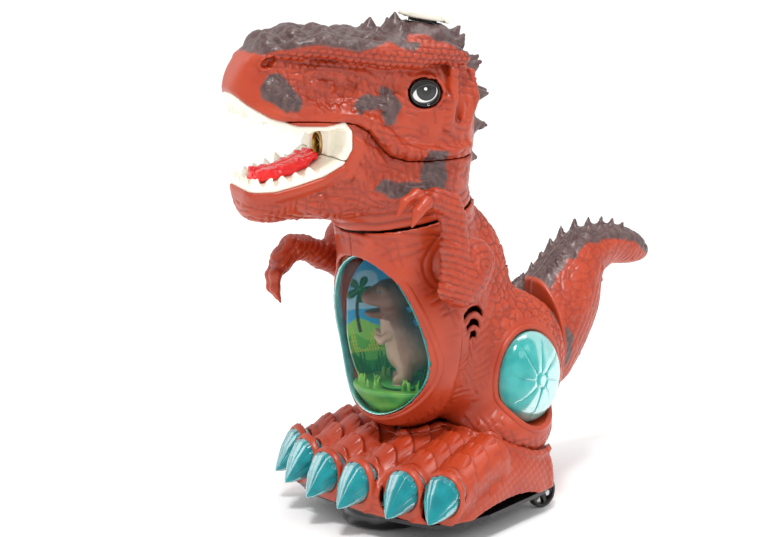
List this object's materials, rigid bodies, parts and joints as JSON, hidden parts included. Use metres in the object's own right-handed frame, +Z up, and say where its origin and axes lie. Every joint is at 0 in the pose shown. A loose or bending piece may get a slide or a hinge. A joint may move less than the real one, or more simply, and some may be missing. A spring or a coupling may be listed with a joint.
{
  "type": "bubble machine",
  "caption": "Walking dinosaur bubble machine: hinged fill lid, mouth outlet with fan, turning head, wagging tail, chest window with a turning figure, steered drive turret.",
  "frame": {"origin": "on the floor, below the middle of the toy's bounding box", "axes": "+Z up, the toy faces -Y with its tail along +Y, +X is the toy's left side"},
  "size_m": [0.1398, 0.2891, 0.2741],
  "materials": {
    "skin": "satin moulded reptile skin, red brown with dark grey brown paint",
    "cream": "semi gloss",
    "tongue": "gloss",
    "brass": "satin",
    "eye": "gloss, printed eye",
    "rubber": "matte",
    "clear": "translucent natural plastic",
    "white": "satin",
    "steel": "bright",
    "teal": "clear tinted plastic, gloss",
    "card": "printed",
    "figure": "satin",
    "black": "satin",
    "board": "solder mask",
    "cell": "printed sleeve"
  },
  "bodies": {
    "torso": {"torso_shell_left": "skin", "torso_shell_right": "skin", "chest_window": "teal", "thigh_window_left": "teal", "thigh_window_right": "teal", "scene_backdrop": "card", "figure_motor": "steel", "speaker": "black", "circuit_board": "board", "neck_bearing": "white", "tail_yoke": "white", "tail_pin": "steel", "thigh_reflector_left": "white", "thigh_reflector_right": "white", "foot_shell": "skin", "base_plate": "black", "claw_left_1": "teal", "claw_left_2": "teal", "claw_left_3": "teal", "claw_right_1": "teal", "claw_right_2": "teal", "claw_right_3": "teal", "battery_box": "black", "battery_cover": "black", "battery_cover_screw": "steel", "battery_1": "cell", "battery_2": "cell", "battery_3": "cell"},
    "head": {"skull_shell": "skin", "jaw_shell": "skin", "upper_mouth_liner": "cream", "lower_mouth_liner": "cream", "tongue": "tongue", "outlet_ring": "brass", "eye_left": "eye", "eye_right": "eye", "lid_seal": "rubber", "solution_tank": "clear", "feed_tube": "clear", "air_duct": "white", "fan_motor": "steel", "neck_spigot": "white"},
    "filler_lid": {"filler_lid": "cream"},
    "bubble_fan": {"fan_impeller": "white"},
    "figure": {"small_dinosaur": "figure"},
    "arm_left": {"arm_left": "skin"},
    "arm_right": {"arm_right": "skin"},
    "tail": {"tail_shell_left": "skin", "tail_shell_right": "skin"},
    "turret": {"drive_turret": "black", "turret_retainer": "white", "drive_motor": "steel"},
    "drive_wheels": {"drive_axle": "white", "drive_wheel_left": "rubber", "drive_wheel_right": "rubber"},
    "drive_pinion": {"drive_pinion": "white"},
    "rear_wheels": {"rear_axle": "steel", "rear_wheel_left": "black", "rear_wheel_right": "black"},
    "power_switch": {"power_switch": "black"}
  },
  "joints": [
    {"name": "head_turn", "type": "hinge", "parent": "torso", "child": "head", "pos_m": [0, -0.047, 0.168], "axis": [0, -0.2079, 0.9781], "range_deg": [-6, 38]},
    {"name": "filler_lid_hinge", "type": "hinge", "parent": "head", "child": "filler_lid", "pos_m": [0.01129, -0.02799, 0.26801], "axis": [-0.9613, 0.2696, 0.0573], "range_deg": [0, 110]},
    {"name": "bubble_fan_spin", "type": "hinge", "parent": "head", "child": "bubble_fan", "pos_m": [-0.00267, -0.06463, 0.20608], "axis": [0.2696, 0.9629, -0.0079], "continuous": true},
    {"name": "figure_turn", "type": "hinge", "parent": "torso", "child": "figure", "pos_m": [0, -0.046, 0.09], "axis": [0, 0, 1], "continuous": true},
    {"name": "arm_left_turn", "type": "hinge", "parent": "torso", "child": "arm_left", "pos_m": [0.0505, -0.044, 0.146], "axis": [1, 0, 0], "range_deg": [-10, 100]},
    {"name": "arm_right_turn", "type": "hinge", "parent": "torso", "child": "arm_right", "pos_m": [-0.0505, -0.044, 0.146], "axis": [1, 0, 0], "range_deg": [-72, 38]},
    {"name": "tail_wag", "type": "hinge", "parent": "torso", "child": "tail", "pos_m": [0, 0.052, 0.085], "axis": [0, 0, 1], "range_deg": [-6, 6]},
    {"name": "turret_swivel", "type": "hinge", "parent": "torso", "child": "turret", "pos_m": [0, -0.059, 0.014], "axis": [0, 0, 1], "continuous": true},
    {"name": "drive_wheel_spin", "type": "hinge", "parent": "turret", "child": "drive_wheels", "pos_m": [0, -0.059, 0.009], "axis": [1, 0, 0], "continuous": true},
    {"name": "drive_pinion_spin", "type": "hinge", "parent": "turret", "child": "drive_pinion", "pos_m": [0, -0.059, 0.01885], "axis": [1, 0, 0], "continuous": true},
    {"name": "rear_wheel_spin", "type": "hinge", "parent": "torso", "child": "rear_wheels", "pos_m": [0, 0.022, 0.009], "axis": [1, 0, 0], "continuous": true},
    {"name": "power_switch_slide", "type": "slide", "parent": "torso", "child": "power_switch", "axis": [0, 1, 0], "range_m": [0, 0.003]}
  ],
  "couplings": [
    {"joint": "drive_pinion_spin", "follows": "drive_wheel_spin", "ratio": -2}
  ]
}
